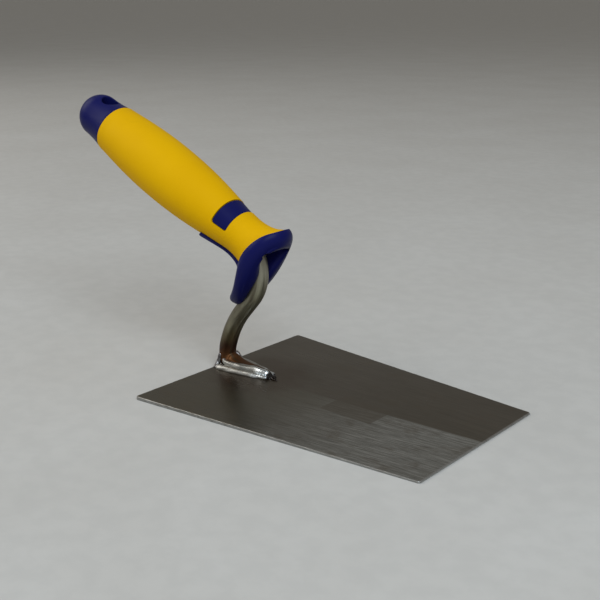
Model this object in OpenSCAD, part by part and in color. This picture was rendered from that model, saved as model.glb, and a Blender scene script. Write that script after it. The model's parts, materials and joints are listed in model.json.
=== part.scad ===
// Brick trowel: trapezoid steel blade, welded swan-neck shank, two-colour moulded grip.
// +X runs from heel to toe, +Z is up, and the origin is the middle of the blade's underside.

/* [Blade] */
// Length of the blade from heel to toe
blade_len = 160; // [140:1:180]
// Width of the blade at the heel
heel_w = 126; // [110:1:150]
// Width of the blade at the toe
toe_w = 96; // [80:1:110]
// Thickness of the blade at the heel
heel_t = 1.8; // [1.5:0.1:2.5]
// Thickness of the blade at the toe, where it is ground thinner
toe_t = 1.0; // [0.8:0.1:1.4]
// Radius of the blade's four corners
corner_r = 1.6; // [1:0.1:3]

/* [Shank] */
// Diameter of the round bar
bar_d = 9.2; // [8.8:0.1:9.6]
// Bend radius of the bar where it turns down out of the grip
neck_r = 22; // [20:0.5:22]
// Bend radius of the long sweep down to the heel
sweep_r = 53; // [50:1:54]
// Lean of the bar at the heel
heel_lean = 10; // [10:1:13]
// Length of the straight tang inside the grip
tang_len = 78; // [60:1:88]
// Length of the foot that lies on the blade
foot_len = 36; // [32:1:40]
// Height of the foot above the blade at its tip
foot_tip_h = 3.4; // [3:0.1:4]

/* [Grip] */
// Slope of the grip's axis down towards the blade
grip_tilt = 25.4; // [24:0.2:27]
// Diameter of the grip at its belly
belly_d = 33.2; // [31:0.2:35]
// Diameter of the grip at the neck, behind the guard
neck_d = 22; // [21.4:0.1:23]
// Diameter of the grip at the joint with the butt cap
joint_d = 27.5; // [26:0.1:28.5]
// Diameter of the butt cap's dome
dome_d = 24.4; // [23.4:0.1:25.2]
// Thickness of the soft sleeve over the core
sleeve_wall = 3; // [2.5:0.1:3.4]
// Radius of the hang hole through the butt cap
hang_r = 4.8; // [3.5:0.1:4.8]
// Gap at the joints between the moulded pieces
seam = 0.3; // [0.2:0.05:0.4]

/* [Guard] */
// Height of the guard's rim
guard_h = 51.2; // [50:0.2:56]
// Width of the guard's rim
guard_w = 27; // [26.4:0.1:28]
// Reach of the guard's rim below the grip's axis
guard_drop = 35.2; // [34.6:0.2:39]

/* [Hidden] */

bar_r = bar_d / 2;
run_from = 1.2;                                // ends of the weld runs along the foot
run_to = foot_len - 1.2;
slip = 0.05;                                   // running gap around the tang and the spigot
taper = atan((heel_t - toe_t) / blade_len);    // fall of the blade's top face
big = 400;

// Swan neck, in the XZ plane, x measured from the heel.
foot_x = 3.2;                                  // bar's centre where the sweep starts
foot_z = 9;
tang_tip = 2;                                  // chamfer at the tang's end
sweep_c = [foot_x + sweep_r * cos(heel_lean), foot_z - sweep_r * sin(heel_lean)];
neck_c = [5.75, 57];                           // centre of the upper bend
centre_gap = norm(sweep_c - neck_c);
centre_dir = atan2(sweep_c.y - neck_c.y, sweep_c.x - neck_c.x);
cross_a = acos((neck_r + sweep_r) / centre_gap);
neck_end = centre_dir + cross_a;               // polar angle where the upper bend ends
bridge_len = sqrt(pow(centre_gap, 2) - pow(neck_r + sweep_r, 2));
neck_turn = 90 - grip_tilt - neck_end;         // angle that the upper bend turns through
sweep_turn = -neck_end - heel_lean;            // angle that the sweep turns through

// Grip stations along its axis: 0 is where the tang starts to bend, negative towards the butt.
dome_base = -119.3;
dome_len = 11.3;
joint_x = -104.3;
belly_x = -61.6;
neck_x = 4.4;
shell_x = -21.6;                               // where the sleeve's turned body ends
core_end = 12;
core_nose_r = 8;
hang_x = -114.9;
spigot_len = 5.5;
spigot_r = 9;
window = [-11, -1.8];
window_a = 81;                                 // half angle that the window spans
inlay_gap = 0.35;

// Guard outline: an egg in the plane across the grip's axis.
egg_h = guard_h / 2;
egg_u = egg_h - guard_drop;
egg_w = guard_w / 2;
pad_u = -9.3;                                  // the pad fills the underside below this level
pad_x = -18.6;
colour_x = 15.2;                               // the sleeve stops at this bowed surface
colour_slope = 0.33;
colour_bow = 0.019;
well_x = 13.2;                                 // bottom of the opening round the bar
drop = [[0.05, 0.1], [0.09, 0.4], [0.2, 0.72], [0.5, 0.94], [1, 1]];
RING = 48;

// Values at the top, the sides and the bottom of the guard, joined smoothly round it.
function around(top, side, bottom, a) =
    side + (top - bottom) / 2 * cos(a) + ((top + bottom) / 2 - side) * pow(cos(a), 2);
function bezier3(p, t) =
    pow(1 - t, 2) * p[0] + 2 * t * (1 - t) * p[1] + t * t * p[2];
function bezier4(p, t) =
    pow(1 - t, 3) * p[0] + 3 * t * pow(1 - t, 2) * p[1] + 3 * t * t * (1 - t) * p[2] + pow(t, 3) * p[3];

// Outline of the grip as [station, radius], from the butt to the neck.
function dome(n) = [
    for (i = [0:n - 1]) let (a = 90 * i / n) [dome_base - dome_len * cos(a), dome_d / 2 * sin(a)]
];
cap_curve = [
    [dome_base, dome_d / 2], [-113.6, dome_d / 2],
    [-109, joint_d / 2 - 0.9], [joint_x, joint_d / 2]
];
rear_curve = [
    [joint_x, joint_d / 2], [-92, belly_d / 2 - 1.5],
    [-77, belly_d / 2], [belly_x, belly_d / 2]
];
front_curve = [[belly_x, belly_d / 2], [-23.6, belly_d / 2], [-7.6, neck_d / 2], [neck_x, neck_d / 2]];

function curve(c, n, from = 0, to = 1) =
    [for (i = [0:n]) bezier4(c, from + (to - from) * i / n)];
function inset(points, d) = [for (p = points) [p.x, p.y - d]];

// Solve the front curve for a station by bisection.
function station_t(x, lo = 0, hi = 1, n = 24) =
    n == 0 ? (lo + hi) / 2
    : bezier4(front_curve, (lo + hi) / 2).x < x
        ? station_t(x, (lo + hi) / 2, hi, n - 1)
        : station_t(x, lo, (lo + hi) / 2, n - 1);
function grip_r(x) = x >= neck_x ? neck_d / 2 : bezier4(front_curve, station_t(x)).y;

// Guard skin. Each ring is a closed loop of points [x, y, z] in the grip's frame.
function egg(a) = [(egg_w + 3.2 * cos(a)) * sin(a), egg_u + egg_h * cos(a)];
function opening(a) = [around(19, 6.6, 8, a) * sin(a), -7.6 + 15.4 * cos(a)];
function opening_x(a) = 21.8 + 3.2 * pow(max(cos(a), 0), 3) - 4.4 * pow(max(-cos(a), 0), 2);
function well(a) = [4.2 * sin(a), -4 + 6 * cos(a)];
function egg_dir(a) = egg(a) / norm(egg(a));

function flare_x(a) = neck_x - 11.5 * pow((1 - cos(a)) / 2, 2);
function shoulder_x(a) = 16.8 + 5.2 * pow(max(cos(a), 0), 1.5) - 6.8 * pow(max(-cos(a), 0), 3);
function crest_x(a) =
    21.2 + 2.3 * cos(a) + 2.7 * pow(max(cos(a), 0), 3) - 1.9 * pow(max(-cos(a), 0), 2);
function lip_w(a) = around(5, 2.6, 3.2, a);
function face_middle(a) = [3 * sin(a), -9 + 13 * cos(a)];
function outward(a) = (egg(a) - face_middle(a)) / norm(egg(a) - face_middle(a));
function crest(a) = egg(a) - outward(a) * lip_w(a);

function body_ring(x, r) = [
    for (i = [0:RING - 1])
        let (p = r * egg_dir(360 * i / RING))
        [x, p.x, p.y]
];
function neck_ring(k) = [
    for (i = [0:RING - 1])
        let (a = 360 * i / RING)
        let (x = shell_x + (flare_x(a) - shell_x) * k)
        let (p = grip_r(x) * egg_dir(a))
        [x, p.x, p.y]
];
function flare_ring(t) = [
    for (i = [0:RING - 1])
        let (a = 360 * i / RING)
        let (r0 = grip_r(flare_x(a)))
        let (kx = around(0.62, 0.85, 1.5, a))
        let (r = bezier3([r0, neck_d / 2, norm(egg(a))], t))
        let (x = bezier3([flare_x(a), flare_x(a) + (shoulder_x(a) - flare_x(a)) * kx, shoulder_x(a)], t))
        let (p = r * egg_dir(a))
        [x, p.x, p.y]
];
function lip_ring(t) = [
    for (i = [0:RING - 1])
        let (a = 360 * i / RING)
        let (p = egg(a) - outward(a) * lip_w(a) * (1 - cos(90 * t)))
        [shoulder_x(a) + (crest_x(a) - shoulder_x(a)) * sin(90 * t), p.x, p.y]
];
function face_ring(t) = [
    for (i = [0:RING - 1])
        let (a = 360 * i / RING)
        let (p = crest(a) + (opening(a) - crest(a)) * t)
        [crest_x(a) + (opening_x(a) - crest_x(a)) * t + 0.5 * sin(180 * t), p.x, p.y]
];
function drop_ring(across, down) = [
    for (i = [0:RING - 1])
        let (a = 360 * i / RING)
        let (p = opening(a) + (well(a) - opening(a)) * across)
        [opening_x(a) + (well_x - opening_x(a)) * down, p.x, p.y]
];
guard_rings = concat(
    [for (k = [0:3]) neck_ring(k / 4)],
    [for (k = [0:6]) flare_ring(k / 6)],
    [for (k = [1:5]) lip_ring(k / 5)],
    [for (k = [1:3]) face_ring(k / 3)],
    [for (d = drop) drop_ring(d[0], d[1])]
);

// Round bar, swept from the end of the tang down to the foot. Each stop on its path is
// [x, z, direction of the bend's centre line, radius].
function off_centre(c, r, a) = [c.x + r * cos(a), c.y + r * sin(a)];
function tang_stop(back, r) =
    let (a = 90 - grip_tilt)
    let (p = off_centre(neck_c, neck_r, a))
    [p.x - back * sin(a), p.y + back * cos(a), a, r];
function bar_stops(r) = concat(
    [tang_stop(tang_len + tang_tip, r - tang_tip)],
    [for (k = [4:-1:1]) tang_stop(tang_len * k / 4, r)],
    [
        for (k = [0:20])
            let (a = 90 - grip_tilt - neck_turn * k / 20)
            let (p = off_centre(neck_c, neck_r, a))
            [p.x, p.y, a, r]
    ],
    [
        for (k = [0:10])
            let (a = neck_end + sweep_turn * k / 10)
            let (p = off_centre(sweep_c, sweep_r, a + 180))
            [p.x, p.y, a, r]
    ],
    [[foot_x - sin(heel_lean), foot_z - cos(heel_lean), -heel_lean, r]]
);
function bar_rings(r, n = 32) = [
    for (s = bar_stops(r)) [
        for (i = [0:n - 1])
            let (a = 360 * i / n)
            [s.x + s[3] * cos(a) * cos(s.z), s[3] * sin(a), s.y + s[3] * cos(a) * sin(s.z)]
    ]
];

sleeve_rings = concat(
    [for (p = curve(rear_curve, 8)) body_ring(max(p.x, joint_x + seam), p.y)],
    [for (k = [1:5]) let (p = bezier4(front_curve, station_t(shell_x) * k / 6)) body_ring(p.x, p.y)],
    guard_rings
);

// Closed solid through a list of rings with the same number of points.
module skin(rings) {
    n = len(rings[0]);
    m = len(rings);
    polyhedron(
        points = [for (r = rings) each r],
        faces = concat(
            [[for (i = [n - 1:-1:0]) i]],
            [for (j = [0:m - 2]) for (i = [0:n - 1])
                each [
                    [j * n + i, (j + 1) * n + (i + 1) % n, (j + 1) * n + i],
                    [j * n + i, j * n + (i + 1) % n, (j + 1) * n + (i + 1) % n]
                ]
            ],
            [[for (i = [0:n - 1]) (m - 1) * n + i]]
        )
    );
}

// Frames.
module from_heel() {
    translate([-blade_len / 2, 0, 0])
        children();
}
module on_grip() {
    from_heel()
        translate([neck_c.x + neck_r * sin(grip_tilt), 0, neck_c.y + neck_r * cos(grip_tilt)])
            rotate([0, grip_tilt, 0])
                children();
}
// Turns an outline of [station, radius] points about the grip's axis.
module turned(points, half_angle = 180, fn = 96) {
    rotate([0, 90, 0])
        rotate([0, 0, 180 - half_angle])
            rotate_extrude(angle = 2 * half_angle, $fn = fn)
                polygon([for (p = points) [p.y, p.x]]);
}

// Blade.
function corner(p, a0, sweep, n = 6) =
    [for (i = [0:n]) p + corner_r * [cos(a0 + sweep * i / n), sin(a0 + sweep * i / n)]];
module blade_outline() {
    side = atan((heel_w - toe_w) / 2 / blade_len);
    heel_in = corner_r * tan(45 + side / 2);
    toe_in = corner_r * tan(45 - side / 2);
    heel_y = heel_w / 2 - heel_in;
    toe_y = toe_w / 2 - toe_in;
    polygon(concat(
        corner([corner_r, -heel_y], 180, 90 - side),
        corner([blade_len - corner_r, -toe_y], 270 - side, 90 + side),
        corner([blade_len - corner_r, toe_y], 0, 90 + side),
        corner([corner_r, heel_y], 90 + side, 90 - side)
    ));
}
module blade_stock() {
    difference() {
        linear_extrude(heel_t)
            blade_outline();
        translate([0, 0, heel_t])
            rotate([0, taper, 0])
                translate([-10, -big / 2, 0])
                    cube([big, big, 5]);
    }
}
module blade() {
    color("#4c4a46")
        from_heel()
            blade_stock();
}

// Shank.
module foot() {
    foot_top = foot_tip_h + heel_t - 0.2;
    intersection() {
        rotate([90, 0, 0])
            linear_extrude(20, center = true)
                polygon([
                    [-1.3, 0], [-1.3, 6], [-0.9, 9.4], [7.4, 10], [8.6, 8.6], [10.6, 7.4],
                    [13.8, 6.5], [18, 5.8], [23, 5.3], [foot_len - 4.4, foot_top],
                    [foot_len - 3.4, foot_top - 0.5], [foot_len, 2.1], [foot_len, 0]
                ]);
        linear_extrude(20)
            polygon([
                [-1.3, -3.4], [0.2, -4.9], [7, -4.9], [foot_len - 3, -2.9], [foot_len, -2.2],
                [foot_len, 2.2], [foot_len - 3, 2.9], [7, 4.9], [0.2, 4.9], [-1.3, 3.4]
            ]);
    }
}
module foot_on_blade() {
    difference() {
        foot();
        blade_stock();
        mirror([0, 0, 1])
            translate([-big / 2, -big / 2, 0])
                cube([big, big, big]);
        translate([-20, -big / 2, -1])
            cube([20.01, big, 1 + heel_t]);
    }
}
module shank() {
    color("#6b675c")
        from_heel() {
            skin(bar_rings(bar_r));
            foot_on_blade();
        }
}

// Weld runs.
module run(points, r) {
    for (i = [0:len(points) - 2])
        hull() {
            translate(points[i])
                sphere(r = r, $fn = 20);
            translate(points[i + 1])
                sphere(r = r, $fn = 20);
        }
}
// Keeps what lies on the blade between two stations, clear of the foot.
module on_blade(from, to) {
    difference() {
        intersection() {
            children();
            translate([from, -big / 2, 0])
                cube([to - from, big, 30]);
        }
        foot();
        translate([0, 0, heel_t])
            rotate([0, taper, 0])
                translate([-0.01, -big / 2, -5])
                    cube([big, big, 5]);
    }
}
module lower_run(side) {
    on_blade(run_from, run_to)
        run([[1, side * 6.8, 2.2], [11, side * 6.6, 2.2], [28, side * 4, 2.1], [38, side * 2.6, 2]], 2.1);
}
module upper_run(side) {
    difference() {
        on_blade(run_from, run_to)
            run([[1, side * 4.8, 5.0], [14, side * 3.9, 4.2], [38, side * 1.9, 3.4]], 1.5);
        lower_run(side);
    }
}
module weld_colour() {
    color("#a7aaa8")
        from_heel()
            children();
}
module weld_heel() {
    weld_colour()
        difference() {
            intersection() {
                run([[1.2, -5.2, 2.6], [-0.9, -2.6, 5], [-0.9, 2.6, 5], [1.2, 5.2, 2.6]], 2);
                translate([-10, -20, 0.3])
                    cube([10 + run_from, 40, 20]);
            }
            foot();
            translate([0, -20, -1])
                cube([20, 40, 1 + heel_t]);
        }
}
module weld_toe() {
    weld_colour()
        on_blade(run_to, foot_len + 6)
            run([[foot_len - 0.4, -1.6, 2], [foot_len + 0.2, 1.6, 2]], 1.5);
}

// Grip.
module core_stock() {
    n = 6;
    turned(concat(
        [[joint_x - spigot_len, 0], [joint_x - spigot_len, spigot_r], [joint_x, spigot_r]],
        inset(curve(rear_curve, n), sleeve_wall),
        inset([for (i = [1:n]) bezier4(front_curve, i / n)], sleeve_wall),
        [[core_end, core_nose_r], [core_end, 0]]
    ));
}
module bar_room(gap) {
    rotate([0, -grip_tilt, 0])
        translate([-neck_c.x - neck_r * sin(grip_tilt), 0, -neck_c.y - neck_r * cos(grip_tilt)])
            skin(bar_rings(bar_r + gap));
}
module handle_core() {
    color("#23256a")
        on_grip()
            difference() {
                core_stock();
                bar_room(slip);
            }
}
module sleeve_zone() {
    // Everything behind the bowed colour surface and above the finger pad.
    us = [for (u = [pad_u:1.6:26]) u];
    rotate([90, 0, 0])
        linear_extrude(big / 2, center = true)
            polygon(concat(
                [[-big / 2, -30], [pad_x, -30], [pad_x, pad_u]],
                [for (u = us) [colour_x + colour_slope * u + colour_bow * pow(u - 4, 2), u]],
                [[-big / 2, us[len(us) - 1]]]
            ));
}
module window_sector(grow, low, high) {
    // Curved block across the top of the neck, from the core's surface outwards.
    n = 4;
    xs = [for (i = [0:n]) window[0] - grow + (window[1] - window[0] + 2 * grow) * i / n];
    turned(
        concat(
            [for (x = xs) [x, grip_r(x) - sleeve_wall + low]],
            [for (i = [n:-1:0]) [xs[i], grip_r(xs[i]) + high]]
        ),
        window_a + grow * 5
    );
}
module grip_sleeve() {
    color("#d6a800")
        on_grip()
            difference() {
                intersection() {
                    skin(sleeve_rings);
                    sleeve_zone();
                }
                core_stock();
                window_sector(inlay_gap, 0.01, 5);
            }
}
module window_inlay() {
    color("#1c1f63")
        on_grip()
            window_sector(0, slip, -0.2);
}
module finger_guard() {
    color("#1c1f63")
        on_grip()
            difference() {
                skin(guard_rings);
                sleeve_zone();
                core_stock();
                bar_room(0.4);
            }
}
module butt_cap() {
    color("#1c1f63")
        on_grip()
            difference() {
                turned(concat(dome(10), curve(cap_curve, 5), [[joint_x, 0]]));
                translate([joint_x - spigot_len - slip, 0, 0])
                    rotate([0, 90, 0])
                        cylinder(r = spigot_r + slip, h = 2 * spigot_len, $fn = 96);
                translate([hang_x, 0, -big / 2])
                    cylinder(r = hang_r, h = big, $fn = 64);
            }
}

blade();
shank();
weld_colour() lower_run(-1);  // weld_near_lower
weld_colour() upper_run(-1);  // weld_near_upper
weld_colour() lower_run(1);  // weld_far_lower
weld_colour() upper_run(1);  // weld_far_upper
weld_heel();
weld_toe();
handle_core();
grip_sleeve();
finger_guard();
window_inlay();
butt_cap();
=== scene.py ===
"""Brick trowel: the visual model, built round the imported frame.

The frame is in metres, with +X from the blade's heel to its toe, +Z up, and the origin in the
middle of the blade's underside. Shapes are worked out in millimetres and scaled by MM.
The grip has a frame of its own: x runs down its axis towards the blade, u out of its top.
"""

import json
from math import acos, asin, atan2, ceil, cos, hypot, pi, radians, sin, sqrt

import bmesh
import bpy
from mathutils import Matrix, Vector, noise


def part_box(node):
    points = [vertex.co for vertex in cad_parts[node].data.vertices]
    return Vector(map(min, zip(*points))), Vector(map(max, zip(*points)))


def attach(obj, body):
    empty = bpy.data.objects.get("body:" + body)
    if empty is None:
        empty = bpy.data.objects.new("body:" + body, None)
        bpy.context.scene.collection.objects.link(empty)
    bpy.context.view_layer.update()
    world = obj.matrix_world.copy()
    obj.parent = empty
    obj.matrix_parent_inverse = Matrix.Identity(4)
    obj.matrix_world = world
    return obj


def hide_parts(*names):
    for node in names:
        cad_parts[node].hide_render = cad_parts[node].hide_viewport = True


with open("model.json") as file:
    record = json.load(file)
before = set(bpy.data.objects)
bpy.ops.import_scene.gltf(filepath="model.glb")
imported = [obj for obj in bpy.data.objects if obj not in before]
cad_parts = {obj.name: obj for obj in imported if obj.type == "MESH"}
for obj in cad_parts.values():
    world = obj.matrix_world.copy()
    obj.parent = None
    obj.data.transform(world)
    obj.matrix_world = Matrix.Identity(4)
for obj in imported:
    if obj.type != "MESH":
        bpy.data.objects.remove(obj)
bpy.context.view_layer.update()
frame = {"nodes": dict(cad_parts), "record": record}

MM = 0.001

# ---------------------------------------------------------------- frame of the grip

HANG_X = -114.9          # the hang hole's place along the grip
HANG_R = 4.8

mounts = {m["name"]: m for m in frame["record"]["mounts"]}
UP = Vector(mounts["hang_hole"]["axis"]).normalized()
DOWN = Vector((UP.z, 0, -UP.x))
GRIP_ORIGIN = Vector(mounts["hang_hole"]["pos_m"]) / MM - DOWN * HANG_X


def on_grip(x, y, u):
    """A point of the grip's frame in the row's frame, in millimetres."""
    return GRIP_ORIGIN + DOWN * x + UP * u + Vector((0, y, 0))


# ---------------------------------------------------------------- mesh helpers

def new_object(name, verts, faces):
    """A smooth-shaded mesh object from millimetre points."""
    mesh = bpy.data.meshes.new(name)
    mesh.from_pydata([tuple(Vector(v) * MM) for v in verts], [], faces)
    mesh.validate()
    bm = bmesh.new()
    bm.from_mesh(mesh)
    bmesh.ops.remove_doubles(bm, verts=bm.verts, dist=0.002 * MM)
    bmesh.ops.recalc_face_normals(bm, faces=bm.faces)
    bm.to_mesh(mesh)
    bm.free()
    for p in mesh.polygons:
        p.use_smooth = True
    obj = bpy.data.objects.new(name, mesh)
    bpy.context.scene.collection.objects.link(obj)
    return obj


class Grid:
    """Collects points and quads, sharing a vertex wherever two points are the same."""

    def __init__(self):
        self.verts = []
        self.faces = []
        self.index = {}

    def vertex(self, p):
        key = (round(p[0], 4), round(p[1], 4), round(p[2], 4))
        if key not in self.index:
            self.index[key] = len(self.verts)
            self.verts.append(Vector(p))
        return self.index[key]

    def face(self, points):
        ids = []
        for p in points:
            i = self.vertex(p)
            if i not in ids:
                ids.append(i)
        if len(ids) > 2:
            self.faces.append(ids)

    def sheet(self, rows, closed=False, skip=None):
        """Quads between rows of points. skip(row, column) leaves a cell out."""
        for i in range(len(rows) - 1):
            n = len(rows[i])
            for j in range(n if closed else n - 1):
                if skip and skip(i, j):
                    continue
                k = (j + 1) % n
                self.face([rows[i][j], rows[i][k], rows[i + 1][k], rows[i + 1][j]])


def shell(obj, thickness, edge):
    """Gives an open patch a wall and rounds its rim."""
    wall = obj.modifiers.new("wall", "SOLIDIFY")
    wall.thickness = thickness * MM
    wall.offset = -1
    rim = obj.modifiers.new("rim", "BEVEL")
    rim.width = edge * MM
    rim.segments = 3
    rim.limit_method = "ANGLE"
    rim.angle_limit = radians(50)
    rim.harden_normals = True
    return obj


def solve(f, lo, hi, steps=26):
    """Where f crosses zero between lo and hi."""
    rising = f(hi) > f(lo)
    for _ in range(steps):
        mid = (lo + hi) / 2
        if (f(mid) < 0) == rising:
            lo = mid
        else:
            hi = mid
    return (lo + hi) / 2


def lerp(a, b, t):
    return a + (b - a) * t


def smooth(t):
    t = min(1, max(0, t))
    return t * t * (3 - 2 * t)


# ---------------------------------------------------------------- grip outline (as in the CAD)

JOINT_X, JOINT_R = -104.3, 13.75
BELLY_X, BELLY_R = -61.6, 16.6
NECK_X, NECK_R = 4.4, 11.0
SHELL_X = -21.6
DOME_BASE, DOME_LEN, DOME_R = -119.3, 11.3, 12.2
SEAM = 0.3
WINDOW = (-11.0, -1.8)
WINDOW_A = 81.0
PAD_U, PAD_X = -9.3, -18.6
COLOUR_X, COLOUR_SLOPE, COLOUR_BOW = 15.2, 0.33, 0.019
EGG_H, EGG_W, EGG_U = 25.6, 13.5, -9.6
EGG_TOP = 3.2            # how much wider the egg is towards its top

REAR = [(JOINT_X, JOINT_R), (-92, BELLY_R - 1.5), (-77, BELLY_R), (BELLY_X, BELLY_R)]
FRONT = [(BELLY_X, BELLY_R), (-23.6, BELLY_R), (-7.6, NECK_R), (NECK_X, NECK_R)]
CAP = [(DOME_BASE, DOME_R), (-113.6, DOME_R), (-109, JOINT_R - 0.9), (JOINT_X, JOINT_R)]


def bezier(p, t):
    """A point on a Bezier curve of any order. Points are numbers or tuples."""
    if isinstance(p[0], tuple):
        return tuple(bezier([q[i] for q in p], t) for i in range(len(p[0])))
    while len(p) > 1:
        p = [lerp(a, b, t) for a, b in zip(p, p[1:])]
    return p[0]


def radius_at(x):
    """Radius of the turned grip at a station."""
    if x >= NECK_X:
        return NECK_R
    curve = REAR if x < BELLY_X else FRONT
    t = solve(lambda t: bezier(curve, t)[0] - x, 0, 1)
    return bezier(curve, t)[1]


RADII = [radius_at(JOINT_X + i * 0.5) for i in range(int((NECK_X - JOINT_X) * 2) + 3)]


def grip_r(x):
    k = min(max((x - JOINT_X) * 2, 0), len(RADII) - 1.001)
    return lerp(RADII[int(k)], RADII[int(k) + 1], k % 1)


def around(top, side, bottom, a):
    c = cos(a)
    return side + (top - bottom) / 2 * c + ((top + bottom) / 2 - side) * c * c


def egg(a):
    return (EGG_W + EGG_TOP * cos(a)) * sin(a), EGG_U + EGG_H * cos(a)


def egg_dir(a):
    y, u = egg(a)
    return y / hypot(y, u), u / hypot(y, u)


def opening(a):
    """Edge of the opening that the bar comes out of."""
    return around(19.0, 6.6, 8.0, a) * sin(a), -7.6 + 15.4 * cos(a)


def opening_x(a):
    c = cos(a)
    return 21.8 + 3.2 * max(c, 0) ** 3 - 4.4 * max(-c, 0) ** 2


def well(a):
    """Bottom of the opening, hidden behind the bar."""
    return 4.2 * sin(a), -4 + 6 * cos(a)


def flare_x(a):
    return NECK_X - 11.5 * ((1 - cos(a)) / 2) ** 2


def shoulder_x(a):
    c = cos(a)
    return 16.8 + (5.2 * c ** 1.5 if c > 0 else 6.8 * c ** 3)


def crest_x(a):
    c = cos(a)
    return 21.2 + 2.3 * c + (2.7 * c ** 3 if c > 0 else -1.9 * c * c)


def lip_w(a):
    return around(5.0, 2.6, 3.2, a)


def body_ring(x):
    def ring(a):
        y, u = egg_dir(a)
        return x, grip_r(x) * y, grip_r(x) * u
    return ring


def neck_ring(k):
    def ring(a):
        x = lerp(SHELL_X, flare_x(a), k)
        y, u = egg_dir(a)
        return x, grip_r(x) * y, grip_r(x) * u
    return ring


def flare_ring(t):
    def ring(a):
        x0 = flare_x(a)
        reach = around(0.62, 0.85, 1.5, a)
        r = bezier([grip_r(x0), NECK_R, hypot(*egg(a))], t)
        x = bezier([x0, lerp(x0, shoulder_x(a), reach), shoulder_x(a)], t)
        y, u = egg_dir(a)
        return x, r * y, r * u
    return ring


def inward(a):
    """The way from the middle line of the face out to the rim."""
    ey, eu = egg(a)
    fy, fu = 3.0 * sin(a), -9 + 13 * cos(a)
    d = hypot(ey - fy, eu - fu)
    return (ey - fy) / d, (eu - fu) / d


def lip_ring(t):
    def ring(a):
        dy, du = inward(a)
        y, u = egg(a)
        k = lip_w(a) * (1 - cos(pi / 2 * t))
        return lerp(shoulder_x(a), crest_x(a), sin(pi / 2 * t)), y - dy * k, u - du * k
    return ring


def face_ring(t):
    def ring(a):
        _, cy, cu = lip_ring(1)(a)
        y, u = opening(a)
        x = lerp(crest_x(a), opening_x(a), t) + 0.5 * sin(pi * t)
        return x, lerp(cy, y, t), lerp(cu, u, t)
    return ring


def drop_ring(across, down):
    def ring(a):
        (y, u), (wy, wu) = opening(a), well(a)
        return lerp(opening_x(a), WELL_X, down), lerp(y, wy, across), lerp(u, wu, across)
    return ring


WELL_X = 13.2
DROP = [(0.05, 0.10), (0.09, 0.40), (0.20, 0.72), (0.50, 0.94), (1.0, 1.0)]
RINGS = (
    [body_ring(lerp(JOINT_X - 9, SHELL_X, k / 18)) for k in range(18)]
    + [neck_ring(k / 4) for k in range(4)]
    + [flare_ring(k / 6) for k in range(7)]
    + [lip_ring(k / 5) for k in range(1, 6)]
    + [face_ring(k / 3) for k in range(1, 4)]
    + [drop_ring(*d) for d in DROP]
)
V_SHELL = 18.0                       # ring numbers where the stretches of the skin begin
V_SHOULDER = 28.0
V_END = len(RINGS) - 2.0
ring_cache = {}


def ring_point(k, a):
    key = (k, round(a, 7))
    if key not in ring_cache:
        ring_cache[key] = RINGS[k](a)
    return ring_cache[key]


def skin(v, a):
    """Point [x, y, u] of the grip's and guard's skin: a uniform B-spline through the rings."""
    k = min(int(v), len(RINGS) - 3)
    t = v - k
    w = (
        (1 - t) ** 3 / 6,
        (3 * t ** 3 - 6 * t * t + 4) / 6,
        (-3 * t ** 3 + 3 * t * t + 3 * t + 1) / 6,
        t ** 3 / 6,
    )
    p = [0.0, 0.0, 0.0]
    for i in range(4):
        q = ring_point(min(max(k - 1 + i, 0), len(RINGS) - 1), a)
        for c in range(3):
            p[c] += w[i] * q[c]
    return p


def polar(a):
    """Angle about the grip's axis of the skin's parameter a."""
    y, u = egg(a)
    return atan2(y, u)


def from_polar(phi):
    s = 1 if phi >= 0 else -1
    return s * solve(lambda a: polar(a) - abs(phi), 0.0, pi)


def v_for_x(x, a, lo=1.0, hi=V_SHOULDER - 1):
    return solve(lambda v: skin(v, a)[0] - x, lo, hi, 20)


def over_colour(v, a, gap):
    """Distance past the bowed surface where yellow meets navy."""
    x, _, u = skin(v, a)
    return x - COLOUR_X - COLOUR_SLOPE * u - COLOUR_BOW * (u - 4) ** 2 + gap


def v_colour(a, gap):
    return solve(lambda v: over_colour(v, a, gap), V_SHELL, V_SHOULDER + 3)


def pad_edge(v, gap):
    """Parameter a where the skin sinks below the pad's level."""
    return solve(lambda a: skin(v, a)[2] - PAD_U - gap, 0.3 * pi, pi)


def tip(gap_v, gap_a):
    """Where the colour plane meets the pad's level: the yellow's point on each side."""
    a = solve(lambda a: skin(v_colour(a, gap_v), a)[2] - PAD_U - gap_a, 0.3 * pi, 0.9 * pi)
    return v_colour(a, gap_v), a


# ---------------------------------------------------------------- grip sleeve

LINE = 0.24              # half of the fine gap between the yellow and the navy


def rounded_box(p, half, r):
    """Nearest point of a rounded rectangle's edge to a point outside it."""
    q = [min(max(p[i], -(half[i] - r)), half[i] - r) for i in range(2)]
    d = hypot(p[0] - q[0], p[1] - q[1])
    return [q[i] + (p[i] - q[i]) / d * r for i in range(2)]


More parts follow.
